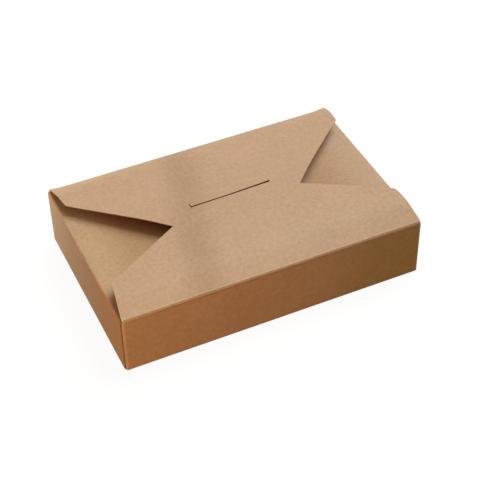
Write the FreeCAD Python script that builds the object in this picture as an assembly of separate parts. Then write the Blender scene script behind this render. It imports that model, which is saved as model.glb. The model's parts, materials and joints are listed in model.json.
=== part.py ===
"""Pastry box folded from one sheet of kraft board, with a lid flap that tucks into a slit.

Millimetres.  X runs along the length, Y from the front wall to the back wall, Z up.
The origin is the middle of the outside of the bottom panel.  Two nodes are written:
the folded box, and the front lid flap, which turns about the crease at the top of the
front wall.
"""
import FreeCAD, Part
import math
import os

# Box sizes, outside
length = 200.0
width = 131.0
wall_height = 41.0

# Board and its creases, by the outside of the fold
board = 0.5
bottom_fold_radius = 1.0
corner_fold_radius = 1.8
lid_fold_radius = 1.5
hinge_bead_radius = 0.5
tongue_fold_radius = 1.0

# Corner seams: a glue tab of each long wall lies behind the edge of the end wall
seam_setback = 3.0
glue_tab_reach = 16.0
glue_tab_taper = 4.0

# Clearances
lap_gap = 0.3
hinge_gap = 0.35
slit_gap = 0.3

# Lid flaps in plan
flap_side_inset = 0.6
flap_side_taper = 0.15
front_corner_reach = 25.0
back_corner_reach = 25.0
flap_corner_round = 4.0
tongue_half_width = 27.0
back_flap_end_half_width = 26.5
back_flap_lap = 26.5
back_flap_end_round = 6.0

# Rise of the front flap from its crease, then its long bow
front_rise_angle = 35.0
front_rise_run = 3.0
front_bow_radius = 40.0
front_crown_angle = 2.6

# Rise of the back flap from its crease, then its long bow
back_rise_angle = 27.0
back_bow_radius = 65.0
ridge_from_slit = 9.0
ridge_radius = 100.0

# Tongue of the front flap, and the slit's return cuts
tongue_depth = 10.0
tongue_corner_round = 6.0
return_cut_reach = 3.6
return_cut_width = 0.6

# End flaps, creased lower than the lid flaps by one board and a gap
end_flap_reach = 62.0
end_flap_edge_gap = 3.5
end_flap_taper = 12.0
end_flap_angle = 1.0
end_flap_corner_round = 8.0

# Derived places
bottom_mid_radius = bottom_fold_radius - board / 2
lid_mid_radius = lid_fold_radius - board / 2
tongue_mid_radius = tongue_fold_radius - board / 2
end_wall_height = wall_height - board - lap_gap
hinge_y = -width / 2 + hinge_bead_radius
hinge_z = wall_height
front_wall_top = hinge_z - hinge_bead_radius - hinge_gap
long_wall_half = length / 2 - board - corner_fold_radius
back_wall_top = wall_height - lid_fold_radius * math.tan(math.radians(90 - back_rise_angle) / 2)
tall = wall_height * 2


class SheetPath:
    """The middle line of a bent sheet, in a plane, as runs and arcs that stay tangent."""

    def __init__(self, across, up, heading):
        self.points = [(across, up)]
        self.headings = [heading]
        self.turns = []

    def run(self, distance):
        """Go straight on."""
        across, up = self.points[-1]
        angle = math.radians(self.headings[-1])
        self.points.append((across + distance * math.cos(angle), up + distance * math.sin(angle)))
        self.headings.append(self.headings[-1])
        self.turns.append(None)

    def bend(self, radius, turn):
        """Follow an arc, to the left where the turn is positive."""
        side = math.copysign(1.0, turn)
        centre = self.beside(side * radius)
        start = math.radians(self.headings[-1] - side * 90)
        stop = start + math.radians(turn)
        self.points.append((centre[0] + radius * math.cos(stop), centre[1] + radius * math.sin(stop)))
        self.headings.append(self.headings[-1] + turn)
        self.turns.append((centre, radius, side, start, stop))

    def beside(self, distance):
        """The point at a distance to the left of the path's end."""
        across, up = self.points[-1]
        angle = math.radians(self.headings[-1] + 90)
        return across + distance * math.cos(angle), up + distance * math.sin(angle)

    def edge(self, index, offset):
        """One stretch of the path, moved to the left by the offset."""
        def moved(k):
            across, up = self.points[k]
            angle = math.radians(self.headings[k] + 90)
            return FreeCAD.Vector(0, across + offset * math.cos(angle), up + offset * math.sin(angle))
        if self.turns[index] is None:
            return Part.makeLine(moved(index), moved(index + 1))
        centre, radius, side, start, stop = self.turns[index]
        middle = (start + stop) / 2
        reach = radius - side * offset
        halfway = FreeCAD.Vector(0, centre[0] + reach * math.cos(middle), centre[1] + reach * math.sin(middle))
        return Part.Arc(moved(index), halfway, moved(index + 1)).toShape()

    def section(self, first=0, last=None):
        """The sheet's cut face in the YZ plane, from one stretch up to another."""
        stretches = range(first, len(self.turns) if last is None else last)
        left = [self.edge(k, board / 2) for k in stretches]
        right = [self.edge(k, -board / 2) for k in stretches]
        caps = [
            Part.makeLine(left[0].firstVertex(True).Point, right[0].firstVertex(True).Point),
            Part.makeLine(left[-1].lastVertex(True).Point, right[-1].lastVertex(True).Point),
        ]
        return Part.Face(Part.Wire(Part.__sortEdges__(left + right + caps)))


def spread(face, half):
    """A section in the YZ plane, drawn out along X to both sides."""
    solid = face.extrude(FreeCAD.Vector(2 * half, 0, 0))
    solid.translate(FreeCAD.Vector(-half, 0, 0))
    return solid


def plan_prism(corners, rounds):
    """A tall prism over a plan outline, with chosen corners rounded."""
    base = [FreeCAD.Vector(x, y, -tall) for x, y in corners]
    prism = Part.Face(Part.makePolygon(base + base[:1])).extrude(FreeCAD.Vector(0, 0, 3 * tall))
    for index, radius in rounds:
        x, y = corners[index]
        upright = [
            edge for edge in prism.Edges
            if all(math.hypot(v.X - x, v.Y - y) < 1e-6 for v in edge.Vertexes)
        ]
        prism = prism.makeFillet(radius, upright)
    return prism


def mirrored_outline(right_side):
    """A closed outline from its right-hand half."""
    return right_side + [(-x, y) for x, y in reversed(right_side)]


def front_flap_path():
    """The front flap from its crease, over the bow to the slit, and down the tongue."""
    path = SheetPath(hinge_y, hinge_z, front_rise_angle)
    path.run(front_rise_run / math.cos(math.radians(front_rise_angle)))
    path.bend(front_bow_radius, front_crown_angle - front_rise_angle)
    across, up = path.points[-1]
    slope = math.tan(math.radians(front_crown_angle))
    reach = math.hypot(0 - hinge_y, up - across * slope - hinge_z)
    # The tongue's crease touches the crown and the circle that the tongue slides on
    start = path.beside(-tongue_mid_radius)
    along = FreeCAD.Vector(math.cos(math.radians(front_crown_angle)),
                           math.sin(math.radians(front_crown_angle)), 0)
    offset = FreeCAD.Vector(start[0] - hinge_y, start[1] - hinge_z, 0)
    half = offset.dot(along)
    run = -half + math.sqrt(half ** 2 - offset.Length ** 2 + (reach - tongue_mid_radius) ** 2)
    path.run(run)
    centre = path.beside(-tongue_mid_radius)
    aim = math.degrees(math.atan2(centre[1] - hinge_z, centre[0] - hinge_y))
    path.bend(tongue_mid_radius, aim - 90 - front_crown_angle)
    path.bend(reach, -math.degrees(tongue_depth / reach))
    return path, reach


def crown_height(y):
    """Height of the front flap's middle line over its crown, at a place in Y."""
    path, _ = front_flap_path()
    across, up = path.points[2]
    return up + (y - across) * math.tan(math.radians(front_crown_angle))


def back_flap_path():
    """The back wall and back flap, from the middle of the bottom to the flap's free end."""
    path = SheetPath(0, board / 2, 0)
    path.run(width / 2 - bottom_fold_radius)
    path.bend(bottom_mid_radius, 90)
    path.run(back_wall_top - bottom_fold_radius)
    path.bend(lid_mid_radius, 90 - back_rise_angle)
    # The bow leaves the crease and heads straight for the ridge behind the slit
    lap_drop = (board + lap_gap) / math.cos(math.radians(front_crown_angle))
    ridge = (ridge_from_slit, crown_height(ridge_from_slit) - lap_drop)
    centre = path.beside(back_bow_radius)
    away = (ridge[0] - centre[0], ridge[1] - centre[1])
    straight = math.sqrt(away[0] ** 2 + away[1] ** 2 - back_bow_radius ** 2)
    around = math.atan2(away[1], away[0]) - math.atan2(straight, back_bow_radius)
    heading = math.degrees(around) + 90
    path.bend(back_bow_radius, (heading - path.headings[-1]) % 360)
    ridge_turn = 180 + front_crown_angle - path.headings[-1]
    trim = ridge_radius * math.tan(math.radians(ridge_turn) / 2)
    path.run(straight - trim)
    path.bend(ridge_radius, ridge_turn)
    path.run((path.points[-1][0] + back_flap_lap) / math.cos(math.radians(front_crown_angle)))
    return path


def front_wall_path():
    """The front wall, from the middle of the bottom to just under the lid's crease."""
    path = SheetPath(0, board / 2, 180)
    path.run(width / 2 - bottom_fold_radius)
    path.bend(bottom_mid_radius, -90)
    path.run(front_wall_top - board / 2 - bottom_fold_radius)
    return path


def end_wall_path():
    """One end wall and its flap, from the middle of the bottom, as if along Y."""
    wall_turn = 90.0 - end_flap_angle
    setback = lid_fold_radius * math.tan(math.radians(wall_turn) / 2)
    path = SheetPath(0, board / 2, 0)
    path.run(length / 2 - bottom_fold_radius)
    path.bend(bottom_mid_radius, 90)
    path.run(end_wall_height - setback - bottom_fold_radius)
    path.bend(lid_mid_radius, wall_turn)
    path.run(end_flap_reach - setback)
    return path


def slit_cutter(reach):
    """The slit that the tongue slides through, with a short return cut at each end."""
    half = tongue_half_width + slit_gap
    axis = FreeCAD.Vector(1, 0, 0)
    start = FreeCAD.Vector(-half, hinge_y, hinge_z)
    outer = Part.makeCylinder(reach + board / 2 + slit_gap, 2 * half, start, axis)
    inner = Part.makeCylinder(reach - board / 2 - slit_gap, 2 * half, start, axis)
    window = Part.makeBox(2 * half, width, tall, FreeCAD.Vector(-half, hinge_y, wall_height))
    cutter = outer.cut(inner).common(window)
    for side in (-1, 1):
        edge = side * half - (return_cut_width if side > 0 else 0)
        corner = FreeCAD.Vector(edge, 0, wall_height)
        cutter = cutter.fuse(Part.makeBox(return_cut_width, return_cut_reach, tall, corner))
    return cutter


def corner_and_tab(front):
    """The rounded upright corner of a long wall, and the glue tab behind the end wall."""
    side = -1 if front else 1
    low = bottom_fold_radius
    top = front_wall_top - board / 2 if front else back_wall_top
    radius = corner_fold_radius
    centre = FreeCAD.Vector(long_wall_half, side * (width / 2 - radius), low)
    up = FreeCAD.Vector(0, 0, 1)
    rod = Part.makeCylinder(radius, top - low, centre, up)
    core = Part.makeCylinder(radius - board, top - low, centre, up)
    quarter = Part.makeBox(radius, radius, top)
    quarter.translate(FreeCAD.Vector(centre.x, centre.y - (radius if front else 0), 0))
    corner = rod.cut(core).common(quarter)
    inner_x = length / 2 - 2 * board
    near = centre.y
    far = near - side * glue_tab_reach
    outline = [
        (near, low),
        (far, low + glue_tab_taper),
        (far, top - glue_tab_taper),
        (near, top),
    ]
    points = [FreeCAD.Vector(inner_x, y, z) for y, z in outline]
    tab = Part.Face(Part.makePolygon(points + points[:1])).extrude(FreeCAD.Vector(board, 0, 0))
    return corner.fuse(tab)


def end_wall():
    """One end wall on the +X side, with its flap under the lid."""
    path = end_wall_path()
    half = width / 2 - seam_setback
    turn = FreeCAD.Vector(0, 0, 1)
    wall = spread(path.section(0, 4), half)
    flap = spread(path.section(4), half)
    for piece in (wall, flap):
        piece.rotate(FreeCAD.Vector(0, 0, 0), turn, -90)
    root = length / 2
    tip = length / 2 - end_flap_reach - board
    root_half = width / 2 - end_flap_edge_gap
    tip_half = root_half - end_flap_taper
    outline = [(root, -root_half), (root, root_half), (tip, tip_half), (tip, -tip_half)]
    rounds = [(2, end_flap_corner_round), (3, end_flap_corner_round)]
    return wall.fuse(flap.common(plan_prism(outline, rounds)))


def lid_outline(side, corner_reach, end_half, end_reach):
    """Plan outline of a lid flap, from its crease to its free end or its slit."""
    root_half = length / 2 - flap_side_inset
    corner_half = root_half - flap_side_taper * corner_reach
    edge = side * width / 2
    right_side = [
        (root_half, edge),
        (corner_half, edge - side * corner_reach),
        (end_half, edge - side * end_reach),
    ]
    return mirrored_outline(right_side)


def folded_box():
    """Bottom, four walls, glue tabs, end flaps and the slit back flap, as one sheet."""
    _, reach = front_flap_path()
    back = back_flap_path()
    front = front_wall_path()
    long_strip = spread(back.section(0, 3), long_wall_half).fuse(spread(front.section(), long_wall_half))
    rim = Part.makeCylinder(board / 2, 2 * long_wall_half,
                            FreeCAD.Vector(-long_wall_half, board / 2 - width / 2, front_wall_top - board / 2),
                            FreeCAD.Vector(1, 0, 0))
    outline = lid_outline(1, back_corner_reach, back_flap_end_half_width, width / 2 + back_flap_lap)
    rounds = [(1, flap_corner_round), (4, flap_corner_round),
              (2, back_flap_end_round), (3, back_flap_end_round)]
    lid = spread(back.section(3), length / 2).common(plan_prism(outline, rounds)).cut(slit_cutter(reach))
    pieces = [rim, lid]
    for half in (end_wall(), corner_and_tab(True), corner_and_tab(False)):
        pieces += [half, half.mirror(FreeCAD.Vector(0, 0, 0), FreeCAD.Vector(1, 0, 0))]
    return long_strip.fuse(pieces).removeSplitter()


def front_flap():
    """The front lid flap with its crease bead and the tongue that tucks into the slit."""
    path, reach = front_flap_path()
    half = length / 2 - flap_side_inset
    bead = Part.makeCylinder(hinge_bead_radius, 2 * half, FreeCAD.Vector(-half, hinge_y, hinge_z),
                             FreeCAD.Vector(1, 0, 0))
    panel_end = path.points[3][0] + width / 2
    outline = lid_outline(-1, front_corner_reach, tongue_half_width, panel_end)
    rounds = [(1, flap_corner_round), (4, flap_corner_round)]
    # The outline ends past the panel, so that the tongue's width is set by the tongue alone
    panel = spread(path.section(0, 3), half).common(plan_prism(outline, rounds))
    tongue = spread(path.section(3), tongue_half_width)
    low = min(point[1] for point in path.points[4:]) - board
    plate = Part.makeBox(2 * tongue_half_width, width, tall,
                         FreeCAD.Vector(-tongue_half_width, -width / 2, low))
    lower = [
        edge for edge in plate.Edges
        if all(abs(v.Z - low) < 1e-6 for v in edge.Vertexes)
        and abs(edge.Vertexes[0].X - edge.Vertexes[1].X) < 1e-6
    ]
    tongue = tongue.common(plate.makeFillet(tongue_corner_round, lower))
    return panel.fuse([bead, tongue]).removeSplitter()


os.makedirs("parts", exist_ok=True)
for name, shape in (("folded_box", folded_box()), ("front_flap", front_flap())):
    assert shape.isValid() and len(shape.Solids) == 1, name
    shape.Solids[0].exportStep("parts/" + name + ".step")
    box = shape.BoundBox
    print(name, "volume %.1f mm3" % shape.Volume,
          "x %.2f %.2f  y %.2f %.2f  z %.2f %.2f" % (box.XMin, box.XMax, box.YMin, box.YMax, box.ZMin, box.ZMax))
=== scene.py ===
"""Looks of a kraft board pastry box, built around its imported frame.

Everything is in metres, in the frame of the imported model: X runs along the length of the
box, Y from the front wall to the back wall, and Z up.  Small sizes are written in
millimetres, times MM.  A sheet of board is worked as its middle surface, bent along its
creases and cut to its outline, and it gets its thickness last.
"""
import json
import logging
import math
from dataclasses import dataclass, field
from enum import Enum
from typing import Callable

import bmesh
import bpy
from mathutils import Matrix, Vector


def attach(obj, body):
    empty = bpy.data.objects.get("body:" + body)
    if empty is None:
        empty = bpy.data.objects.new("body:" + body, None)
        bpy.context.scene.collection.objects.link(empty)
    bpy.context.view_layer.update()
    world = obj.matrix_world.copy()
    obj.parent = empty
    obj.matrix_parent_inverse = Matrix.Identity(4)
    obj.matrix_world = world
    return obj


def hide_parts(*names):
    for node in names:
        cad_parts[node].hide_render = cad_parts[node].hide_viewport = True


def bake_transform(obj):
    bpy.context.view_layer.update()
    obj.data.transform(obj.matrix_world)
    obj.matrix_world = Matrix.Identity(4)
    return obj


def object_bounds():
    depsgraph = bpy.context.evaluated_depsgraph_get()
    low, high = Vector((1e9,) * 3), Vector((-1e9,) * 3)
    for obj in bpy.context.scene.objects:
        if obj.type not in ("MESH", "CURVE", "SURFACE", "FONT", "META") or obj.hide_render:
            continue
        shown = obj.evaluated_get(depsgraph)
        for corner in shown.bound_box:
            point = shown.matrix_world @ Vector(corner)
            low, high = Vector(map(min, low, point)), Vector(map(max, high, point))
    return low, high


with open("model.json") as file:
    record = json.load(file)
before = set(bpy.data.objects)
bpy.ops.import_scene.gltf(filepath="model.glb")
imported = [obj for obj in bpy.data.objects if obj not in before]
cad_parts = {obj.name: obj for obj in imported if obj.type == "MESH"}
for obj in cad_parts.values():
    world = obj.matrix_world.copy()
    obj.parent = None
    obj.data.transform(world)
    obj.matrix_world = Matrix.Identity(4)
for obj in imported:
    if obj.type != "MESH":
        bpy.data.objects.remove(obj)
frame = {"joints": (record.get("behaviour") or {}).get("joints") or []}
CAD_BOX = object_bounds()

MM = 0.001
# Places closer than NEAR count as the same, and SLACK is the room that a test leaves around a face
NEAR = 0.01 * MM
SLACK = 0.1 * MM
ACROSS = Vector((1, 0, 0))
ALONG = Vector((0, 1, 0))
UP = Vector((0, 0, 1))

Test = Callable[[Vector], bool]
Colour = tuple[float, float, float]
Socket = bpy.types.NodeSocket

log = logging.getLogger("pastry_box")


class Picked(Enum):
    """What an edit works on, as the mesh select mode has it."""

    EDGES = (False, True, False)
    FACES = (False, False, True)


class Side(Enum):
    """The two ends of the box, by the way they face along X."""

    LEFT = -1
    RIGHT = 1


class Wall(Enum):
    """The two long walls, by the way they face along Y."""

    FRONT = -1
    BACK = 1


@dataclass(frozen=True)
class BoxSize:
    """Outside sizes of the box, and the axis of its lid's crease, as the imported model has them."""

    half_length: float
    half_width: float
    crease: Vector
    thickness: float = 0.5 * MM

    @classmethod
    def from_frame(cls) -> "BoxSize":
        """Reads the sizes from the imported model.

        Returns:
            The sizes of this box.
        """
        low, high = CAD_BOX
        crease = Vector(frame["joints"][0]["pos_m"])
        return cls((high.x - low.x) / 2, (high.y - low.y) / 2, crease)

    @property
    def wall_height(self) -> float:
        """Height of the lid's creases above the table."""
        return self.crease.z

    @property
    def middle(self) -> float:
        """Half the board's thickness, which is how deep its middle surface lies."""
        return self.thickness / 2


def select_only(piece: bpy.types.Object) -> None:
    """Selects one piece and nothing else, and makes it the active one.

    Args:
        piece: The piece.
    """
    bpy.ops.object.select_all(action="DESELECT")
    piece.select_set(True)
    bpy.context.view_layer.objects.active = piece


def apply_modifiers(piece: bpy.types.Object) -> None:
    """Applies every modifier of a piece, in order.

    Args:
        piece: The piece.
    """
    select_only(piece)
    for modifier in list(piece.modifiers):
        bpy.ops.object.modifier_apply(modifier=modifier.name)


class Board:
    """A sheet of board being shaped in edit mode."""

    def __init__(self, name: str, centre: Vector, size_x: float, size_y: float,
                 columns: int, rows: int, upright: bool = False) -> None:
        """Lays a flat grid to start from, and opens it for editing.

        Args:
            name: Name of the piece.
            centre: Middle of the grid.
            size_x: Length of the grid along X.
            size_y: Width of the grid along Y, or its height where it stands.
            columns: Divisions along X.
            rows: Divisions the other way.
            upright: Whether the grid stands, facing the front.
        """
        bpy.ops.object.select_all(action="DESELECT")
        bpy.ops.mesh.primitive_grid_add(
            x_subdivisions=columns, y_subdivisions=rows, size=1, location=centre,
            rotation=(math.radians(90) if upright else 0, 0, 0),
        )
        self.piece = bpy.context.object
        self.piece.name = name
        self.piece.data.name = name
        self.piece.scale = (size_x, size_y, 1)
        bpy.ops.object.transform_apply(location=True, rotation=True, scale=True)
        bpy.ops.object.mode_set(mode="EDIT")

    def pick(self, kind: Picked, test: Test) -> int:
        """Selects the edges or faces whose corners all pass a test.

        Args:
            kind: Whether edges or faces are picked.
            test: Says whether a corner's place counts.

        Returns:
            How many were picked.
        """
        bpy.context.tool_settings.mesh_select_mode = kind.value
        mesh = bmesh.from_edit_mesh(self.piece.data)
        for group in (mesh.faces, mesh.edges, mesh.verts):
            for element in group:
                element.select_set(False)
        elements = mesh.edges if kind is Picked.EDGES else mesh.faces
        chosen = [e for e in elements if all(test(v.co) for v in e.verts)]
        for element in chosen:
            element.select_set(True)
        bmesh.update_edit_mesh(self.piece.data)
        return len(chosen)

    def keep_top(self) -> float:
        """Keeps only the highest of the picked edges.

        Returns:
            Their height.
        """
        mesh = bmesh.from_edit_mesh(self.piece.data)
        edges = [e for e in mesh.edges if e.select]
        top = max((v.co.z for e in edges for v in e.verts), default=0.0)
        for edge in edges:
            edge.select_set(all(v.co.z > top - NEAR for v in edge.verts))
        bmesh.update_edit_mesh(self.piece.data)
        return top

    def cut(self, place: Vector, normal: Vector, test: Test, clear: bool = True) -> None:
        """Cuts the picked faces along a plane, and takes away what lies past it.

        Args:
            place: A point on the plane.
            normal: The plane's direction, towards what is taken away.
            test: Says which corners' faces are cut.
            clear: Whether anything is taken away, or only a line is drawn.
        """
        if self.pick(Picked.FACES, test):
            bpy.ops.mesh.bisect(plane_co=place, plane_no=normal, clear_outer=clear, threshold=NEAR / 10)

    def cut_line(self, first: Vector, last: Vector, outward: Vector, test: Test,
                 axis: Vector = UP) -> None:
        """Cuts along the line through two points, and takes away what lies past it.

        Args:
            first: A point of the line.
            last: Another point of the line.
            outward: Roughly the way to what is taken away.
            test: Says which corners' faces are cut.
            axis: The way along which the cut goes through the board.
        """
        normal = (last - first).cross(axis).normalized()
        if normal.dot(outward) < 0:
            normal = -normal
        self.cut(first, normal, test)

    def round_corner(self, before: Vector, corner: Vector, after: Vector, radius: float,
                     test: Test, cuts: int = 7) -> None:
        """Rounds a corner of an outline that has been cut, by cuts along the tangents of its arc.

        Args:
            before: A point of the outline on one side of the corner, in plan.
            corner: The corner, in plan.
            after: A point of the outline on its other side, in plan.
            radius: Radius of the rounded corner.
            test: Says which corners' faces are cut.
            cuts: How many cuts make the arc.
        """
        back = (before - corner).normalized()
        on = (after - corner).normalized()
        inward = (back + on).normalized()
        half = back.angle(on) / 2
        centre = corner + inward * (radius / math.sin(half))
        turn = math.pi - 2 * half
        for k in range(cuts):
            angle = turn * ((k + 0.5) / cuts - 0.5)
            normal = Matrix.Rotation(angle, 3, "Z") @ -inward
            self.cut(centre + normal * radius, normal, test)

    def remove(self, test: Test) -> None:
        """Deletes the faces whose corners all pass a test."""
        if self.pick(Picked.FACES, test):
            bpy.ops.mesh.delete(type="FACE")

    def lift(self, height: float, reach: float) -> None:
        """Lifts what is picked, and the board around it less and less.

        Args:
            height: How far what is picked goes up.
            reach: How far from it the board still follows.
        """
        bpy.ops.transform.translate(
            value=(0, 0, height), use_proportional_edit=True, use_proportional_connected=True,
            proportional_edit_falloff="SMOOTH", proportional_size=reach,
        )

    def tidy(self) -> None:
        """Merges doubles, deletes loose ends, turns all faces the same way and closes the edit."""
        bpy.ops.mesh.select_all(action="SELECT")
        bpy.ops.mesh.remove_doubles(threshold=NEAR)
        bpy.ops.mesh.delete_loose(use_verts=True, use_edges=True, use_faces=False)
        bpy.ops.mesh.select_all(action="SELECT")
        bpy.ops.mesh.normals_make_consistent(inside=False)
        bpy.ops.object.mode_set(mode="OBJECT")


@dataclass
class FreeRow:
    """The free row of edges of a board, which goes on along a path."""

    place: Vector
    heading: Vector
    axis: Vector

    def run(self, distance: float, steps: int = 1) -> None:
        """Carries the row straight on.

        Args:
            distance: How far it goes.
            steps: How many strips of faces it leaves.
        """
        step = self.heading * (distance / steps)
        for _ in range(steps):
            bpy.ops.mesh.extrude_edges_move(TRANSFORM_OT_translate={"value": step})
        self.place = self.place + self.heading * distance

    def bend(self, radius: float, degrees: float, steps: int = 6) -> None:
        """Carries the row round an arc.

        Args:
            radius: Radius of the board's middle surface.
            degrees: The turn about the row's axis, by the right-hand rule.
            steps: How many strips of faces it leaves.
        """
        side = math.copysign(1.0, degrees)
        centre = self.place + self.axis.cross(self.heading) * (side * radius)
        angle = math.radians(degrees)
        # The spin operator counts its angle the other way
        bpy.ops.mesh.spin(steps=steps, angle=-angle, center=centre, axis=self.axis, use_auto_merge=False)
        turn = Matrix.Rotation(angle, 3, self.axis)
        self.place = centre + turn @ (self.place - centre)
        self.heading = turn @ self.heading

    def spread(self, factor: float) -> None:
        """Widens the row along X, about its middle."""
        bpy.ops.transform.resize(value=(factor, 1, 1), center_override=self.place)


@dataclass
class Thickness:
    """Turns a middle surface into board, with its raw edges in a finish of their own."""

    depth: float
    edge_ease: float = 0.03 * MM
    ease_from: float = 60.0
    smooth_below: float = 28.0

    def give(self, piece: bpy.types.Object, finishes: list[bpy.types.Material]) -> None:
        """Thickens a piece to both sides, eases its raw edges and smooths its folds.

        Args:
            piece: The piece, still a surface.
            finishes: The finish of its faces, then that of its raw edges.
        """
        piece.data.materials.clear()
        for finish in finishes:
            piece.data.materials.append(finish)
        solidify = piece.modifiers.new("thickness", "SOLIDIFY")
        solidify.thickness = self.depth
        solidify.offset = 0
        solidify.use_even_offset = True
        solidify.use_quality_normals = True
        solidify.material_offset_rim = 1
        ease = piece.modifiers.new("eased_edges", "BEVEL")
        ease.width = self.edge_ease
        ease.segments = 1
        ease.limit_method = "ANGLE"
        ease.angle_limit = math.radians(self.ease_from)
        ease.material = 1
        apply_modifiers(piece)
        bpy.ops.object.mode_set(mode="EDIT")
        bpy.ops.mesh.select_all(action="SELECT")
        bpy.ops.mesh.remove_doubles(threshold=NEAR / 2)
        bpy.ops.object.mode_set(mode="OBJECT")
        bpy.ops.object.shade_smooth_by_angle(angle=math.radians(self.smooth_below))


@dataclass
class LidSet:
    """How a closed lid flap has settled: its right side stands higher, and a little further back.

    The lattice has three columns along X.  Its rows go from the front crease to the back one,
    and each takes its share of the lift and the skew.
    """

    skew: float
    lift: float = 1.4 * MM
    columns: int = 3
    row_shares: tuple[float, ...] = (0.0, 0.28, 0.78, 1.0, 0.85, 0.55, 0.0)

    def make(self) -> bpy.types.Object:
        """Makes the lattice.

        Returns:
            The lattice object.
        """
        low, high = CAD_BOX
        bpy.ops.object.select_all(action="DESELECT")
        bpy.ops.object.add(type="LATTICE", location=(low + high) / 2)
        lattice = bpy.context.object
        lattice.name = "lid_set"
        lattice.scale = high - low
        lattice.data.points_u = self.columns
        lattice.data.points_v = len(self.row_shares)
        lattice.data.points_w = 2
        lattice.data.interpolation_type_u = "KEY_LINEAR"
        lattice.data.interpolation_type_v = "KEY_CATMULL_ROM"
        lattice.data.interpolation_type_w = "KEY_LINEAR"
        for index, point in enumerate(lattice.data.points):
            column = index % self.columns - self.columns // 2
            share = self.row_shares[index // self.columns % len(self.row_shares)]
            point.co_deform.z += column * share * self.lift / (high.z - low.z)
            point.co_deform.y += max(column, 0) * share * self.skew / (high.y - low.y)
        return lattice

    def shape(self, piece: bpy.types.Object, test: Test) -> None:
        """Lets a piece's lid settle.

        Args:
            piece: The piece.
            test: Says which of the piece's points belong to the lid.
        """
        lattice = self.make()
        group = piece.vertex_groups.new(name="lid")
        group.add([v.index for v in piece.data.vertices if test(v.co)], 1.0, "REPLACE")
        modifier = piece.modifiers.new("settle", "LATTICE")
        modifier.object = lattice
        modifier.vertex_group = group.name
        apply_modifiers(piece)
        piece.vertex_groups.clear()
        bpy.data.objects.remove(lattice)


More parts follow.
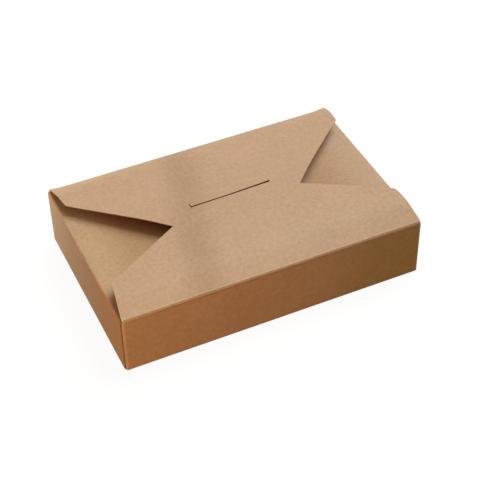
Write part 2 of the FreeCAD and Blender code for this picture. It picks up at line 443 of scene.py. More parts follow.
@dataclass
class FoldedBox:
    """Bottom, walls, glue tabs, end flaps and the slit back flap, folded from one sheet.

    The ends of the long walls go round the corners and on into glue tabs behind the end
    walls, whose raw edges show as the seams.
    """

    size: BoxSize
    divisions: tuple[int, int] = (50, 32)
    bottom_fold: float = 1.0 * MM
    corner_fold: float = 0.9 * MM
    lid_fold: float = 1.5 * MM
    front_wall_stop: float = 1.6 * MM
    front_setback: float = 1.9 * MM
    back_setback: float = 1.1 * MM
    seam_gap: float = 0.32 * MM
    front_corner_drop: float = 0.4 * MM
    back_corner_drop: float = 0.1 * MM
    tab_reach: float = 16.0 * MM
    front_tab_root: float = 0.9 * MM
    back_tab_root: float = 0.15 * MM
    tab_taper: float = 4.0 * MM
    end_wall_drop: float = 0.8 * MM
    back_end_lift: float = 0.9 * MM
    back_end_reach: float = 9.0 * MM
    end_flap_reach: float = 62.0 * MM
    end_flap_front_gap: float = 3.1 * MM
    end_flap_back_gap: float = 0.6 * MM
    end_flap_front_taper: float = 12.0 * MM
    end_flap_back_taper: float = 4.0 * MM
    end_flap_rise: float = 0.6
    end_flap_round: float = 8.0 * MM
    ear_height: float = 0.4 * MM
    back_rise: float = 26.0
    back_rise_run: float = 4.0 * MM
    back_bow: float = 36.0 * MM
    back_crown: float = 5.2
    back_crown_run: float = 39.1 * MM
    ridge_radius: float = 100.0 * MM
    lap_fall: float = 3.06
    lap_end: float = -26.5 * MM
    left_inset: float = 1.3 * MM
    right_inset: float = 0.6 * MM
    left_taper: float = 0.118
    right_taper: float = 0.115
    corner_reach: float = 25.5 * MM
    left_round: float = 4.0 * MM
    right_round: float = 5.5 * MM
    flap_end_half: float = 26.5 * MM
    flap_end_round: float = 6.0 * MM
    slit_half: float = 27.3 * MM
    slit_front: float = -0.15 * MM
    slit_back: float = 1.15 * MM
    slit_margin: float = 8.0 * MM
    left_return: float = 3.5 * MM
    right_return: float = 1.35 * MM
    return_width: float = 0.55 * MM
    lip_lift: float = 0.3 * MM
    lip_reach: float = 9.0 * MM
    name: str = "folded_box_sheet"
    board: Board = field(init=False)

    def build(self, lid_set: LidSet, finishes: list[bpy.types.Material]) -> bpy.types.Object:
        """Folds and cuts the sheet, and gives it its thickness and finishes.

        Args:
            lid_set: How the back flap has settled.
            finishes: The finish of the faces, then that of the raw edges.

        Returns:
            The finished piece.
        """
        self.lay_bottom()
        self.raise_front_wall()
        self.raise_back_wall()
        for side in Side:
            for wall in Wall:
                self.wrap_corner(side, wall)
            self.raise_end_wall(side)
        self.trim_back_flap()
        self.cut_slit()
        self.board.tidy()
        lid_set.shape(self.board.piece, self.on_back_flap)
        Thickness(self.size.thickness).give(self.board.piece, finishes)
        return self.board.piece

    @property
    def wall_half(self) -> float:
        """Half the flat part of a long wall, between its corner folds."""
        return self.size.half_length - self.size.thickness - self.corner_fold

    @property
    def wall_top(self) -> float:
        """Height at which the front wall hands over to the lid flap's crease."""
        return self.size.wall_height - self.front_wall_stop

    @property
    def end_front(self) -> float:
        """Where an end wall's front raw edge comes, along Y."""
        return self.front_setback - self.size.half_width

    @property
    def end_back(self) -> float:
        """Where an end wall's back raw edge comes, along Y."""
        return self.size.half_width - self.back_setback

    def tab_root(self, wall: Wall) -> float:
        """How much of a glue tab, next to its corner, rises to the corner's full height."""
        return self.front_tab_root if wall is Wall.FRONT else self.back_tab_root

    def beside_seams(self, co: Vector) -> bool:
        """Whether a place lies between the two raw edges of the end walls."""
        return self.end_front - NEAR < co.y < self.end_back + NEAR

    def on_back_flap(self, co: Vector) -> bool:
        """Whether a place is on the back flap, above the end flaps and the corners.

        Args:
            co: The place.

        Returns:
            Whether it is.
        """
        behind = co.y > self.size.half_width - 2 * self.lid_fold
        above = behind or co.z > self.size.wall_height + 1.5 * SLACK
        return above and co.z > self.size.wall_height - 5 * SLACK and co.y > self.lap_end - MM

    def lay_bottom(self) -> None:
        """Lays the bottom panel, with lines where the walls' ends and the end walls' edges come."""
        half_x = self.size.half_length - self.bottom_fold
        half_y = self.size.half_width - self.bottom_fold
        self.board = Board(self.name, UP * self.size.middle, 2 * half_x, 2 * half_y, *self.divisions)
        for side in Side:
            self.board.cut(ACROSS * (side.value * self.wall_half), ACROSS, lambda co: True, clear=False)
        for edge in (self.end_front, self.end_back):
            self.board.cut(ALONG * edge, ALONG, lambda co: True, clear=False)

    def raise_front_wall(self) -> None:
        """Folds the front wall up, to just under the lid's crease."""
        start = -self.size.half_width + self.bottom_fold
        self.board.pick(Picked.EDGES, lambda co: co.y < start + NEAR and abs(co.x) < self.wall_half + NEAR)
        row = FreeRow(Vector((0, start, self.size.middle)), -ALONG, ACROSS)
        row.bend(self.bottom_fold - self.size.middle, -90)
        row.run(self.wall_top - self.bottom_fold, steps=9)

    def raise_back_wall(self) -> None:
        """Folds the back wall up and the back flap over, under the front flap's place."""
        start = self.size.half_width - self.bottom_fold
        self.board.pick(Picked.EDGES, lambda co: co.y > start - NEAR and abs(co.x) < self.wall_half + NEAR)
        turn = 90 - self.back_rise
        setback = self.lid_fold * math.tan(math.radians(turn) / 2)
        row = FreeRow(Vector((0, start, self.size.middle)), ALONG, ACROSS)
        row.bend(self.bottom_fold - self.size.middle, 90)
        row.run(self.size.wall_height - setback - self.bottom_fold - self.ear_height, steps=9)
        row.run(self.ear_height)
        # The flap is wider than the flat of the wall, by the corner folds
        row.spread((self.size.half_length - self.right_inset) / self.wall_half)
        row.bend(self.lid_fold - self.size.middle, turn)
        row.run(self.back_rise_run)
        row.bend(self.back_bow - self.size.middle, self.back_rise - self.back_crown, steps=7)
        row.run(self.back_crown_run, steps=9)
        row.bend(self.ridge_radius, self.back_crown + self.lap_fall, steps=4)
        row.run((row.place.y - self.lap_end) / -row.heading.y, steps=6)

    def wrap_corner(self, side: Side, wall: Wall) -> None:
        """Folds one end of a long wall round its corner, into the glue tab behind the end wall.

        Args:
            side: The end of the box.
            wall: The long wall.
        """
        out = ACROSS * side.value
        wall_y = wall.value * (self.size.half_width - self.size.middle)
        self.board.pick(Picked.EDGES, lambda co: abs(out.dot(co) - self.wall_half) < NEAR
                        and abs(co.y - wall_y) < NEAR and co.z > self.bottom_fold - NEAR)
        closing = math.degrees(math.atan(self.seam_gap / self.tab_reach))
        root = self.tab_root(wall)
        row = FreeRow(out * self.wall_half + ALONG * wall_y, out, UP)
        row.bend(self.corner_fold - self.size.middle - self.seam_gap,
                 -side.value * wall.value * (90 - closing))
        row.run(root)
        row.run(self.tab_reach - root, steps=4)
        self.trim_tab(side, wall)
        self.close_corner_top(side, wall)

    def trim_tab(self, side: Side, wall: Wall) -> None:
        """Tapers one glue tab at its top and bottom.

        Args:
            side: The end of the box that the tab is behind.
            wall: The long wall that it belongs to.
        """
        low, top = self.bottom_fold, self.wall_top
        tab_x = self.size.half_length - self.size.thickness - self.size.middle - self.seam_gap - NEAR
        root_y = wall.value * (self.size.half_width - self.corner_fold)
        end_y = root_y - wall.value * self.tab_reach
        first_y, last_y = sorted((root_y, end_y))

        def on_tab(co: Vector) -> bool:
            """Whether a place is on this tab."""
            inner = abs(side.value * co.x - tab_x) < self.seam_gap + SLACK
            return inner and low - NEAR < co.z < top + MM and first_y - MM < co.y < last_y + MM

        for level, slope in ((low, 1), (top, -1)):
            root = Vector((0, root_y, level))
            end = Vector((0, end_y, level + slope * self.tab_taper))
            self.board.cut_line(root, end, UP * -slope, on_tab, axis=ACROSS)

    def close_corner_top(self, side: Side, wall: Wall) -> None:
        """Carries the corner's round, and the tab's root, up to just under the lid.

        Args:
            side: The end of the box.
            wall: The long wall.
        """
        root_y = wall.value * (self.size.half_width - self.corner_fold - self.tab_root(wall))
        self.board.pick(Picked.EDGES, lambda co: side.value * co.x > self.wall_half - NEAR
                        and co.z > self.wall_top - SLACK and wall.value * (co.y - root_y) > -NEAR)
        top = self.board.keep_top()
        drop = self.front_corner_drop if wall is Wall.FRONT else self.back_corner_drop
        rise = self.size.wall_height - drop - top
        bpy.ops.mesh.extrude_edges_move(TRANSFORM_OT_translate={"value": (0, 0, rise)})

    def raise_end_wall(self, side: Side) -> None:
        """Folds one end wall up and its flap inwards, and cuts the flap's outline.

        Args:
            side: The end of the box.
        """
        out = ACROSS * side.value
        start = out * (self.size.half_length - self.bottom_fold) + UP * self.size.middle
        self.board.pick(Picked.EDGES, lambda co: abs(out.dot(co - start)) < NEAR
                        and self.beside_seams(co) and co.z < self.size.middle + NEAR)
        turn = 90 - self.end_flap_rise
        top = self.size.wall_height - self.end_wall_drop
        setback = self.lid_fold * math.tan(math.radians(turn) / 2)
        row = FreeRow(start, out, -ALONG * side.value)
        row.bend(self.bottom_fold - self.size.middle, 90)
        row.run(top - setback - self.bottom_fold, steps=9)
        row.bend(self.lid_fold - self.size.middle, turn, steps=8)
        row.run(self.end_flap_reach - setback, steps=14)
        self.trim_end_flap(side, row.place)
        self.lift_back_end(side)

    def trim_end_flap(self, side: Side, tip: Vector) -> None:
        """Tapers one end flap and rounds its free corners.

        Args:
            side: The end of the box.
            tip: The middle of the flap's free edge.
        """
        out = ACROSS * side.value
        fold_x = self.size.half_length - self.lid_fold
        low = self.size.wall_height - self.end_wall_drop - self.size.thickness - SLACK

        def on_flap(co: Vector) -> bool:
            """Whether a place is on this flap, past its fold."""
            inside = 0 < out.dot(co) < fold_x + NEAR and self.beside_seams(co)
            return inside and co.z > low and abs(co.z - tip.z) < MM

        for wall in Wall:
            gap, taper = self.end_flap_front_gap, self.end_flap_front_taper
            if wall is Wall.BACK:
                gap, taper = self.end_flap_back_gap, self.end_flap_back_taper
            root_half = self.size.half_width - gap
            root = out * self.size.half_length + ALONG * (wall.value * root_half)
            end = Vector((tip.x, wall.value * (root_half - taper), 0))
            self.board.cut_line(root, end, ALONG * wall.value, on_flap)
            self.board.round_corner(root, end, Vector((tip.x, 0, 0)), self.end_flap_round, on_flap)

    def lift_back_end(self, side: Side) -> None:
        """Lifts an end flap's fold at its back end, up to the back flap that holds it.

        Args:
            side: The end of the box.
        """
        around = 2 * self.lid_fold
        self.board.pick(Picked.EDGES, lambda co: side.value * co.x > self.size.half_length - around
                        and co.z > self.size.wall_height - around and co.y > self.end_back - 5 * SLACK)
        self.board.lift(self.back_end_lift, self.back_end_reach)

    def trim_back_flap(self) -> None:
        """Cuts the back flap's sides, diagonals and free end."""
        edge = self.size.half_width
        for side in Side:
            out = ACROSS * side.value
            inset, taper, radius = self.left_inset, self.left_taper, self.left_round
            if side is Side.RIGHT:
                inset, taper, radius = self.right_inset, self.right_taper, self.right_round
            root_half = self.size.half_length - inset
            root = out * root_half + ALONG * edge
            corner = out * (root_half - taper * self.corner_reach) + ALONG * (edge - self.corner_reach)
            end = out * self.flap_end_half + ALONG * self.lap_end
            for first, last in ((root, corner), (corner, end)):
                self.board.cut_line(first, last, out, self.on_back_flap)
            self.board.round_corner(root, corner, end, radius, self.on_back_flap)
            self.board.round_corner(corner, end, ALONG * end.y, self.flap_end_round, self.on_back_flap)

    def cut_slit(self) -> None:
        """Cuts the slit with its two return cuts, and lifts the lip behind it a little."""
        half = self.slit_half
        inner = half - self.return_width

        def near_slit(co: Vector) -> bool:
            """Whether a place is on the back flap, around the slit."""
            near = abs(co.x) < half + self.slit_margin and abs(co.y - MM) < self.slit_margin + MM
            return near and self.on_back_flap(co)

        def cut_out(first_x: float, last_x: float, back: float) -> None:
            """Takes the board away between two places along X, from the slit's front edge back."""
            self.board.remove(lambda co: first_x - NEAR < co.x < last_x + NEAR and self.on_back_flap(co)
                              and self.slit_front - NEAR < co.y < back + NEAR)

        for side in Side:
            for x in (half, inner):
                self.board.cut(ACROSS * (side.value * x), ACROSS, near_slit, clear=False)
        for y in (self.slit_front, self.slit_back, self.left_return, self.right_return):
            self.board.cut(ALONG * y, ALONG, near_slit, clear=False)
        cut_out(-half, half, self.slit_back)
        cut_out(-half, -inner, self.left_return)
        cut_out(inner, half, self.right_return)
        self.board.pick(Picked.EDGES, lambda co: self.on_back_flap(co) and abs(co.x) < inner + NEAR
                        and abs(co.y - self.slit_back) < NEAR)
        self.board.lift(self.lip_lift, self.lip_reach)


@dataclass
class LidFlap:
    """The front lid flap: its crease at the front wall, the bowed panel and the tongue.

    The crease folds in two steps, with a narrow facet between them.  The left diagonal
    ends in a small shoulder beside the tongue.
    """

    size: BoxSize
    wall_half: float
    wall_stop: float
    divisions: tuple[int, int] = (50, 3)
    crease_round: float = 0.8 * MM
    facet_tilt: float = 55.0
    facet_width: float = 1.45 * MM
    rise: float = 25.0
    rise_run: float = 10.0 * MM
    crease_share: float = 1.0 * MM
    bow: float = 33.0 * MM
    crown: float = 1.8
    slit_y: float = 0.4 * MM
    tongue_fold: float = 1.0 * MM
    tongue_half: float = 27.0 * MM
    tongue_depth: float = 10.0 * MM
    tongue_round: float = 6.0 * MM
    tongue_cuts: int = 6
    side_inset: float = 1.1 * MM
    left_taper: float = 0.14
    right_taper: float = 0.135
    left_reach: float = 26.0 * MM
    right_reach: float = 25.8 * MM
    left_shoulder: float = 0.7 * MM
    corner_round: float = 4.0 * MM
    bend_below: float = 1.3 * MM
    bend_past: float = 1.2 * MM
    bend_above: float = 0.84 * MM
    name: str = "lid_panel"
    crease_name: str = "lid_crease"
    board: Board = field(init=False)
    split_y: float = field(init=False)
    panel_end: float = field(init=False)
    tongue_tip: float = field(init=False)

    def build(self, lid_set: LidSet,
              finishes: list[bpy.types.Material]) -> tuple[bpy.types.Object, bpy.types.Object]:
        """Folds and cuts the flap, and parts the strip that bends from the panel that swings.

        Args:
            lid_set: How the flap has settled.
            finishes: The finish of the faces, then that of the raw edges.

        Returns:
            The swinging panel, and the strip along the crease.
        """
        self.raise_strip()
        self.fold_panel()
        self.trim_panel()
        self.trim_tongue()
        self.board.tidy()
        lid_set.shape(self.board.piece, lambda co: co.z > self.size.wall_height)
        crease = self.part_crease()
        for piece in (self.board.piece, crease):
            Thickness(self.size.thickness).give(piece, finishes)
        return self.board.piece, crease

    @property
    def wall_y(self) -> float:
        """Where the front wall's middle surface stands, along Y."""
        return -self.size.half_width + self.size.middle

    @property
    def root_half(self) -> float:
        """Half the width of the flap at its crease."""
        return self.size.half_length - self.side_inset

    @property
    def fold_start(self) -> float:
        """Height at which the crease's first fold starts."""
        return self.size.wall_height - self.setback(90 - self.facet_tilt)

    @property
    def bend_ends(self) -> tuple[Vector, Vector]:
        """Where the strip starts to bend, on the wall, and where it is fully turned, on the panel."""
        start = Vector((0, self.wall_y, self.size.wall_height - self.bend_below))
        return start, self.size.crease + ALONG * self.bend_past + UP * self.bend_above

    def setback(self, turn: float) -> float:
        """How far before a fold's corner its round starts."""
        return self.crease_round * math.tan(math.radians(turn) / 2)

    def raise_strip(self) -> None:
        """Stands up the last of the front wall, below the crease."""
        low = self.size.wall_height - self.wall_stop
        centre = Vector((0, self.wall_y, (low + self.fold_start) / 2))
        height = self.fold_start - low
        self.board = Board(self.name, centre, 2 * self.wall_half, height, *self.divisions, upright=True)

    def fold_panel(self) -> None:
        """Folds the crease, the bow and the tongue, and notes where they come."""
        self.board.pick(Picked.EDGES, lambda co: co.z > self.fold_start - NEAR)
        row = FreeRow(Vector((0, self.wall_y, self.fold_start)), UP, ACROSS)
        row.spread(self.root_half / self.wall_half)
        first = 90 - self.facet_tilt
        second = self.facet_tilt - self.rise
        row.bend(self.crease_round - self.size.middle, -first, steps=5)
        row.run(self.facet_width - self.setback(first) - self.setback(second), steps=2)
        row.bend(self.crease_round - self.size.middle, -second, steps=5)
        row.run(self.crease_share)
        self.split_y = row.place.y
        row.run(self.rise_run - self.crease_share, steps=3)
        row.bend(self.bow - self.size.middle, self.crown - self.rise, steps=8)
        fold_radius = self.tongue_fold - self.size.middle
        self.panel_end = self.slit_y - fold_radius
        row.run((self.panel_end - row.place.y) / row.heading.y, steps=11)
        # The tongue curves about the crease, so that it swings out through the slit
        reach = (row.place + Vector((0, fold_radius, -fold_radius)) - self.size.crease).length
        arm = row.place - self.size.crease
        row.bend(fold_radius, math.degrees(math.atan2(arm.z, arm.y)) - 90 - self.crown, steps=7)
        row.bend(reach, -math.degrees(self.tongue_depth / reach), steps=5)
        self.tongue_tip = row.place.z

    def trim_panel(self) -> None:
        """Cuts the panel's sides and diagonals."""
        for side in Side:
            out = ACROSS * side.value
            reach, taper, shoulder = self.right_reach, self.right_taper, 0.0
            if side is Side.LEFT:
                reach, taper, shoulder = self.left_reach, self.left_taper, self.left_shoulder
            root = out * self.root_half + ALONG * self.split_y
            corner = out * (self.root_half - taper * reach) + ALONG * (reach - self.size.half_width)
            end = out * self.tongue_half + ALONG * (self.panel_end - shoulder)

            def on_panel(co: Vector) -> bool:
                """Whether a place is on the swinging panel."""
                return self.split_y - NEAR < co.y < self.panel_end + NEAR and co.z > self.size.wall_height

            def outside_tongue(co: Vector) -> bool:
                """Whether a place on the panel lies further out than the tongue."""
                return on_panel(co) and out.dot(co) > self.tongue_half - NEAR

            self.board.cut(out * self.tongue_half, ACROSS, on_panel, clear=False)
            self.board.cut(ALONG * end.y, ALONG, outside_tongue, clear=False)
            self.board.remove(lambda co: outside_tongue(co) and co.y > end.y - NEAR)
            for first, last in ((root, corner), (corner, end)):
                self.board.cut_line(first, last, out, outside_tongue)
            self.board.round_corner(root, corner, end, self.corner_round, outside_tongue)

    def trim_tongue(self) -> None:
        """Cuts the tongue's sides and rounds its corners."""
        radius = self.tongue_round

        def on_tongue(co: Vector) -> bool:
            """Whether a place is on the tongue."""
            return co.y > self.panel_end - NEAR

        for side in Side:
            out = ACROSS * side.value
            self.board.cut(out * self.tongue_half, out, on_tongue)
            centre = out * (self.tongue_half - radius) + UP * (self.tongue_tip + radius)
            for k in range(self.tongue_cuts):
                angle = math.radians(90) * (k + 0.5) / self.tongue_cuts
                normal = out * math.cos(angle) - UP * math.sin(angle)
                self.board.cut(centre + normal * radius, normal, on_tongue)

    def part_crease(self) -> bpy.types.Object:
        """Parts the strip along the crease from the panel.

        Returns:
            The strip, as a piece of its own.
        """
        piece = self.board.piece
        select_only(piece)
        bpy.ops.object.mode_set(mode="EDIT")
        self.board.pick(Picked.FACES, lambda co: co.y < self.split_y + 5 * SLACK)
        bpy.ops.mesh.separate(type="SELECTED")
        bpy.ops.object.mode_set(mode="OBJECT")
        crease = next(o for o in bpy.context.selected_objects if o != piece)
        crease.name = self.crease_name
        crease.data.name = self.crease_name
        return crease


class Nodes:
    """A small help for laying out the nodes of a finish."""

    def __init__(self, tree: bpy.types.NodeTree) -> None:
        """Empties a node tree and keeps it."""
        self.tree = tree
        tree.nodes.clear()

    def add(self, kind: str, inputs: dict | None = None, **settings) -> bpy.types.Node:
        """Adds a node.

        Args:
            kind: The shader node's type, without its common prefix.
            inputs: Values or sockets for its inputs, by name or number.
            **settings: Settings of the node itself.

        Returns:
            The node.
        """
        node = self.tree.nodes.new("ShaderNode" + kind)
        for key, value in settings.items():
            setattr(node, key, value)
        for key, value in (inputs or {}).items():
            if isinstance(value, Socket):
                self.tree.links.new(value, node.inputs[key])
            else:
                node.inputs[key].default_value = value
        return node

    def millimetres(self) -> Socket:
        """The object's own coordinates, in millimetres."""
        place = self.add("TexCoord").outputs["Object"]
        return self.add("Mapping", {"Vector": place, "Scale": (1 / MM, 1 / MM, 1 / MM)}).outputs[0]

    def noise(self, place: Socket, scale: float, detail: float, low: float, high: float) -> Socket:
        """A cloud pattern whose usual span is mapped to two values.

        Args:
            place: Coordinates, in millimetres.
            scale: Cells for each millimetre.
            detail: Finer layers.
            low: Value of its dark parts.
            high: Value of its bright parts.

        Returns:
            The value's socket.
        """
        noise = self.add("TexNoise", {"Vector": place, "Scale": scale, "Detail": detail})
        ramp = self.add("MapRange", {"Value": noise.outputs["Fac"], "From Min": 0.3, "From Max": 0.7,
                                     "To Min": low, "To Max": high})
        return ramp.outputs["Result"]

    def math(self, operation: str, first: Socket | float, second: Socket | float = 0.0) -> Socket:
        """One sum on one or two values."""
        return self.add("Math", {0: first, 1: second}, operation=operation).outputs[0]

    def product(self, first: Socket, *others: Socket) -> Socket:
        """The product of several values.

        Args:
            first: The first value.
            *others: The other values.

        Returns:
            The product's socket.
        """
        for other in others:
            first = self.math("MULTIPLY", first, other)
        return first

    def share(self, value: Socket, none: float, full: float, soft: bool = True) -> Socket:
        """A slope from nothing, where a value reaches one number, to one, where it reaches another.

        Args:
            value: The value that is followed.
            none: Where the share is nothing.
            full: Where the share is one.
            soft: Whether the slope sets in and ends smoothly.

        Returns:
            The share's socket.
        """
        ramp = self.add("MapRange", {"Value": value, "From Min": none, "From Max": full},
                        interpolation_type="SMOOTHSTEP" if soft else "LINEAR")
        return ramp.outputs["Result"]


@dataclass(frozen=True)
class Span:
    """A border of a tone, along one axis and in millimetres, from none of it to all of it."""

    axis: str
    none: float
    full: float
    both_ways: bool = False
    soft: bool = True


@dataclass(frozen=True)
class PaintedTone:
    """A change painted into the board's colour over one part of the box, within its borders, that stands in
    for the light and shade there.
    """

    change: Colour
    spans: tuple[Span, ...]

    def share(self, nodes: Nodes, place: Socket) -> Socket:
        """How much of the tone a place has.

        Args:
            nodes: The finish's nodes.
            place: Coordinates, in millimetres.

        Returns:
            The share's socket.
        """
        parts = nodes.add("SeparateXYZ", {0: place})
        shares = []
        for span in self.spans:
            value = parts.outputs[span.axis]
            if span.both_ways:
                value = nodes.math("ABSOLUTE", value)
            shares.append(nodes.share(value, span.none, span.full, span.soft))
        return nodes.product(*shares)


@dataclass(frozen=True)
class ShadeBand:
    """A broad soft band of painted shade across the lid, a third of the way along it, that is a little
    darker, in place of a soft shadow.
    """

    above: float
    change: Colour = (-0.145, -0.165, -0.18)
    middle: tuple[float, float, float] = (-31.0, -10.0, 0.0)
    across: tuple[float, float, float] = (0.964, -0.265, 0.0)
    half: float = 21.0

    def share(self, nodes: Nodes, place: Socket) -> Socket:
        """One in the middle of the band, and nothing away from it or below the lid.

        Args:
            nodes: The finish's nodes.
            place: Coordinates, in millimetres.

        Returns:
            The share's socket.
        """
        offset = nodes.add("VectorMath", {0: place, 1: self.middle}, operation="SUBTRACT")
        across = nodes.add("VectorMath", {0: offset.outputs[0], 1: self.across}, operation="DOT_PRODUCT")
        away = nodes.math("ABSOLUTE", across.outputs["Value"])
        height = nodes.add("SeparateXYZ", {0: place}).outputs["Z"]
        return nodes.product(nodes.share(away, self.half, 0.0),
                             nodes.math("GREATER_THAN", height, self.above))


def painted_light_tones(size: BoxSize) -> tuple[PaintedTone | ShadeBand, ...]:
    """Painted shade and painted highlights by place, on the lid, the corners, the end flaps and the walls.

    Args:
        size: Outside sizes of the box.

    Returns:
        The tones, in the order in which they are laid over each other.
    """
    end = size.half_length / MM
    wall = size.half_width / MM
    top = size.wall_height / MM
    end_flap = (Span("Z", top - 1.4, top - 0.9, soft=False), Span("Z", top + 0.21, top + 0.19, soft=False))
    below_lid = Span("Z", top, top - 2.0)
    ahead = Span("Y", 1.6 - wall, 1.2 - wall)
    # Painted highlight: the rounded upright corners are paler and more neutral, where they catch the light.
    lit_corner_rounds = PaintedTone((0.28, 0.42, 0.65), (
        Span("X", end - 2.6, end - 1.4, both_ways=True, soft=False),
        Span("Y", wall - 1.6, wall - 0.8, both_ways=True, soft=False),
    ))
    # Painted shade: the end flaps grow darker and warmer inwards from their folds, where the lid covers
    # them.
    shaded_inner_flaps = PaintedTone((-0.13, -0.23, -0.33), (*end_flap, Span("X", end - 6.0, end - 40.0, both_ways=True)))
    # Painted shade: the left end flap is a little darker and yellower than the right one.
    shaded_left_flap = PaintedTone((-0.04, -0.02, -0.09), (*end_flap, Span("X", 0.01, -0.01, soft=False)))
    # Painted shade: the left wall turns warmer, with less blue, towards the front.
    shaded_left_wall = PaintedTone((0.03, -0.02, -0.24), (
        Span("X", 0.7 - end, 0.3 - end), Span("Y", 10.0, -60.0), below_lid,
    ))
    # Painted shade: the front wall grows darker and more olive towards its right end.
    shaded_front_wall = PaintedTone((-0.17, -0.12, -0.32), (
        Span("Y", 0.7 - wall, 0.3 - wall), Span("X", 10.0, 90.0), below_lid,
    ))
    # Painted light: the front part of the lid, where it rises from the crease, is lighter and less warm.
    lit_lid_rise = PaintedTone((0.02, 0.08, 0.15), (
        Span("Z", top - 0.5, top + 1.0), Span("Y", 25.5 - wall, 13.5 - wall),
    ))
    # Painted shade: the narrow facet of the front crease is darker.
    shaded_crease_facet = PaintedTone((-0.16, -0.18, -0.20), (
        Span("Z", top + 0.1, top + 0.4), Span("Z", top + 1.2, top + 1.0), ahead,
    ))
    # Painted highlight: a thin paler line along the crease's upper fold.
    lit_fold_line = PaintedTone((0.12, 0.14, 0.15), (
        Span("Z", top + 1.05, top + 1.2), Span("Z", top + 1.6, top + 1.45), ahead,
    ))
    # The first entry is the band of painted shade across the lid.
    return (ShadeBand(above=top + 0.5), lit_corner_rounds, shaded_inner_flaps, shaded_left_flap, shaded_left_wall, shaded_front_wall,
            lit_lid_rise, shaded_crease_facet, lit_fold_line)


@dataclass(frozen=True)
class KraftFinish:
    """Uncoated brown kraft: faint clouds, a felt of fine fibres, and sparse dark flecks.

    Painted shade and painted highlights by place are laid over it, as shares of change in its colour.
    """

    name: str
    colour: Colour
    painted_tones: tuple[PaintedTone | ShadeBand, ...]
    cloud: float = 0.03
    cloud_scale: float = 0.03
    mottle: float = 0.08
    mottle_scale: float = 0.45
    warmth: Colour = (0.004, 0.0, -0.02)
    warmth_scale: float = 0.1
    fibre: float = 0.13
    fibre_cover: float = 0.35
    strands: tuple[tuple[float, float], ...] = ((0.8, 2.2), (1.7, 1.5))
    fleck: float = 0.12
    roughness: float = 0.82
    felt_height: float = 0.012 * MM

    def make(self) -> bpy.types.Material:
        """Makes the material.

        Returns:
            The material.
        """
        material = bpy.data.materials.new(self.name)
        material.use_nodes = True
        nodes = Nodes(material.node_tree)
        place = nodes.millimetres()
        fibres = self.fibres(nodes, place)
        felt = nodes.add("Math", {0: fibres, 1: self.fibre, 2: 1 - self.fibre * self.fibre_cover},
                         operation="MULTIPLY_ADD")
        shade = nodes.product(
            nodes.noise(place, self.cloud_scale, 2.0, 1 - self.cloud, 1 + self.cloud),
            nodes.noise(place, self.mottle_scale, 4.0, 1 - self.mottle, 1 + self.mottle),
            felt.outputs[0],
            self.flecks(nodes, place),
        )
        warm = nodes.noise(place, self.warmth_scale, 2.0, -1.0, 1.0)
        tint = self.tinted(nodes, warm, self.warmth, self.colour)
        # Painted shade and painted highlights by place go over the colour here.
        for tone in self.painted_tones:
            tint = self.tinted(nodes, tone.share(nodes, place), tone.change, tint)
        colour = nodes.add("VectorMath", {0: tint, "Scale": shade}, operation="SCALE")
        bump = nodes.add("Bump", {"Height": fibres, "Distance": self.felt_height, "Strength": 1.0})
        shader = nodes.add("BsdfPrincipled", {
            "Base Color": colour.outputs[0], "Roughness": self.roughness, "Specular IOR Level": 0.25,
            "Normal": bump.outputs[0],
        })
        nodes.add("OutputMaterial", {"Surface": shader.outputs[0]})
        return material

    def tinted(self, nodes: Nodes, amount: Socket, change: Colour, colour: Socket | Colour) -> Socket:
        """A colour with each of its parts raised by an amount times a change."""
        factor = nodes.add("VectorMath", {0: amount, 1: change, 2: (1, 1, 1)}, operation="MULTIPLY_ADD")
        return nodes.add("VectorMath", {0: factor.outputs[0], 1: colour}, operation="MULTIPLY").outputs[0]

    def fibres(self, nodes: Nodes, place: Socket) -> Socket:
        """Fine curled strands: the thin lines where a swirled noise crosses its middle.

        Args:
            nodes: The finish's nodes.
            place: Coordinates, in millimetres.

        Returns:
            The socket of a value that is one on the strands.
        """
        felt = None
        for scale, swirl in self.strands:
            noise = nodes.add("TexNoise", {"Vector": place, "Scale": scale, "Detail": 3.0,
                                           "Distortion": swirl})
            off_middle = nodes.math("ABSOLUTE", nodes.math("SUBTRACT", noise.outputs["Fac"], 0.5))
            strand = nodes.share(off_middle, 0.05, 0.0, soft=False)
            felt = strand if felt is None else nodes.math("MAXIMUM", felt, strand)
        return felt

    def flecks(self, nodes: Nodes, place: Socket) -> Socket:
        """Sparse specks of darker fibre.

        Args:
            nodes: The finish's nodes.
            place: Coordinates, in millimetres.

        Returns:
            The socket of a factor on the colour.
        """
        cells = nodes.add("TexVoronoi", {"Vector": place, "Scale": 0.5, "Randomness": 1.0})
        speck = nodes.add("MapRange", {"Value": cells.outputs["Distance"], "From Min": 0.04,
                                       "From Max": 0.16, "To Min": 1 - self.fleck, "To Max": 1.0})
        return speck.outputs["Result"]


@dataclass(frozen=True)
class Lamp:
    """One area lamp, aimed at a point of the box."""

    name: str
    place: Vector
    aim: Vector
    width: float
    power: float
    colour: Colour

    def make(self) -> bpy.types.Object:
        """Adds the lamp.

        Returns:
            The lamp object.
        """
        data = bpy.data.lights.new(self.name, "AREA")
        data.shape = "DISK"
        data.size = self.width
        data.energy = self.power
        data.color = self.colour
        lamp = bpy.data.objects.new(self.name, data)
        lamp.location = self.place
        lamp.rotation_euler = (self.aim - self.place).to_track_quat("-Z", "Y").to_euler()
        bpy.context.scene.collection.objects.link(lamp)
        return lamp


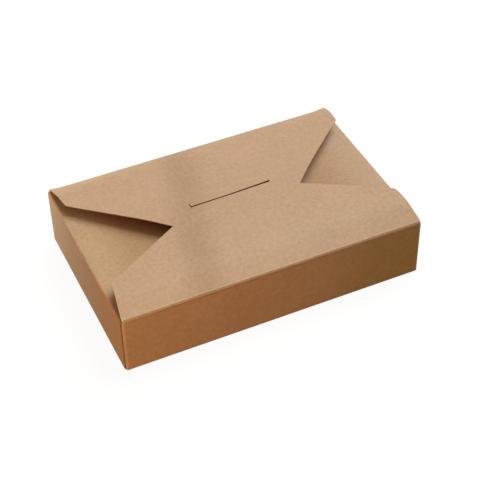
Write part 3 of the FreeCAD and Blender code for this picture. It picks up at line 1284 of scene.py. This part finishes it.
@dataclass
class Studio:
    """Floor, world, lamps and camera."""

    size: BoxSize
    floor_size: float = 6.0
    floor_grey: float = 0.1
    floor_white: float = 0.93
    floor_bounce: Colour = (0.03, 0.02, 0.01)
    ambient: Colour = (0.32, 0.15, 0.075)
    key_softness: float = 45.0
    key_strength: float = 3.0
    key_colour: Colour = (0.745, 0.86, 0.865)
    key_heading: tuple[float, float, float] = (-0.6, -0.3, -1.0)
    camera_lens: float = 99.71
    camera_place: tuple[float, float, float] = (-0.2521, -0.57996, 0.5901)
    camera_forward: tuple[float, float, float] = (0.29947, 0.67473, -0.67458)
    camera_right: tuple[float, float, float] = (0.90744, -0.41982, -0.01705)

    def build(self) -> None:
        """Makes the whole studio."""
        self.lay_floor()
        self.fill_world()
        self.hang_key()
        for lamp in self.lamps():
            lamp.make()
        self.set_camera()

    def white_to_camera(self, nodes: Nodes) -> Socket:
        """One for rays that show the background, from the camera or by way of gloss or glass.

        Args:
            nodes: The nodes of the floor or the world.

        Returns:
            The value's socket.
        """
        path = nodes.add("LightPath")
        seen = nodes.math("MAXIMUM", path.outputs["Is Camera Ray"], path.outputs["Is Glossy Ray"])
        return nodes.math("MAXIMUM", seen, path.outputs["Is Transmission Ray"])

    def lay_floor(self) -> None:
        """Lays a floor that looks near white, keeps the box's shadow and bounces a warm light."""
        bpy.ops.object.select_all(action="DESELECT")
        bpy.ops.mesh.primitive_plane_add(size=self.floor_size, location=(0, 0, 0))
        floor = bpy.context.object
        floor.name = "floor"
        material = bpy.data.materials.new("floor")
        material.use_nodes = True
        nodes = Nodes(material.node_tree)
        shown = nodes.add("BsdfDiffuse", {"Color": (self.floor_grey, self.floor_grey, self.floor_grey, 1)})
        glow = nodes.add("Emission", {"Color": (1, 1, 1, 1), "Strength": self.floor_white})
        white = nodes.add("AddShader", {0: shown.outputs[0], 1: glow.outputs[0]})
        bounce = nodes.add("BsdfDiffuse", {"Color": (*self.floor_bounce, 1)})
        mixed = nodes.add("MixShader", {0: self.white_to_camera(nodes), 1: bounce.outputs[0],
                                        2: white.outputs[0]})
        nodes.add("OutputMaterial", {"Surface": mixed.outputs[0]})
        floor.data.materials.append(material)

    def fill_world(self) -> None:
        """Gives the world a low warm light, and shows it white."""
        world = bpy.data.worlds.new("studio")
        world.use_nodes = True
        bpy.context.scene.world = world
        nodes = Nodes(world.node_tree)
        low = nodes.add("Background", {"Color": (*self.ambient, 1), "Strength": 1.0})
        white = nodes.add("Background", {"Color": (1, 1, 1, 1), "Strength": 1.0})
        sky = nodes.add("MixShader", {0: self.white_to_camera(nodes), 1: low.outputs[0],
                                      2: white.outputs[0]})
        nodes.add("OutputWorld", {"Surface": sky.outputs[0]})

    def hang_key(self) -> None:
        """Adds the broad soft key light, from above and a little to the right."""
        data = bpy.data.lights.new("key", "SUN")
        data.angle = math.radians(self.key_softness)
        data.energy = self.key_strength
        data.color = self.key_colour
        key = bpy.data.objects.new("key", data)
        key.rotation_euler = Vector(self.key_heading).to_track_quat("-Z", "Y").to_euler()
        bpy.context.scene.collection.objects.link(key)

    def lamps(self) -> list[Lamp]:
        """The small low lamps that shape the walls and the shaded ends of the lid.

        Returns:
            The lamps, with their places measured from the box's corners.
        """
        left, front = -self.size.half_length, -self.size.half_width
        right, back = -left, -front
        return [
            Lamp("warm_corner", Vector((left - 0.20, front - 0.20, 0.04)), Vector((left, front, 0.02)),
                 width=0.12, power=0.20, colour=(1.0, 0.2, 0.05)),
            Lamp("warm_front", Vector((-0.24, -0.40, 0.06)), Vector((-0.05, front, 0.02)),
                 width=0.20, power=0.48, colour=(0.98, 0.78, 0.36)),
            Lamp("left_back", Vector((left - 0.10, back + 0.095, 0.04)), Vector((left, back, 0.02)),
                 width=0.08, power=0.16, colour=(0.83, 1.0, 0.92)),
            Lamp("front_edge", Vector((0.02, front - 0.035, 0.20)), Vector((0.02, front + 0.015, 0.04)),
                 width=0.20, power=0.040, colour=(0.2, 0.75, 1.0)),
            Lamp("cool_far", Vector((right + 0.30, back + 0.20, 0.20)), Vector((right, back, 0.04)),
                 width=0.20, power=0.48, colour=(0.36, 0.57, 1.0)),
        ]

    def set_camera(self) -> None:
        """Sets the camera above the front left corner, looking down over the lid."""
        data = bpy.data.cameras.new("camera")
        data.lens = self.camera_lens
        data.sensor_width = 36
        camera = bpy.data.objects.new("camera", data)
        camera.location = self.camera_place
        forward = Vector(self.camera_forward)
        right = Vector(self.camera_right)
        turned = Matrix((right, right.cross(forward), -forward)).transposed()
        camera.rotation_euler = turned.to_euler()
        data.clip_start = 0.01
        data.clip_end = 20
        bpy.context.scene.collection.objects.link(camera)
        bpy.context.scene.camera = camera


def main() -> None:
    """Builds the box, its lid and the studio, and reports each piece."""
    logging.basicConfig(level=logging.INFO, format="%(name)s: %(message)s")
    bpy.context.scene.view_settings.view_transform = "Standard"
    size = BoxSize.from_frame()
    # Painted shade and painted highlights, laid over the kraft's colour by place.
    painted_tones = painted_light_tones(size)
    kraft = KraftFinish("kraft_face", (0.552, 0.366, 0.227), painted_tones).make()
    raw = KraftFinish("kraft_raw_edge", (0.50, 0.33, 0.20), painted_tones, fibre=0.12).make()
    finishes = [kraft, raw]

    box = FoldedBox(size)
    sheet = box.build(LidSet(skew=3.6 * MM), finishes)
    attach(sheet, "box")
    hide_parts("folded_box")
    log.info("%s: %d faces", sheet.name, len(sheet.data.polygons))

    flap = LidFlap(size, box.wall_half, box.front_wall_stop)
    panel, crease = flap.build(LidSet(skew=2.2 * MM), finishes)
    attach(panel, "lid_flap")
    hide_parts("front_flap")
    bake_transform(crease)
    for piece in (panel, crease):
        log.info("%s: %d faces", piece.name, len(piece.data.polygons))

    Studio(size).build()
    log.info("studio: floor, world, lamps and camera")


if __name__ == "__main__":
    main()
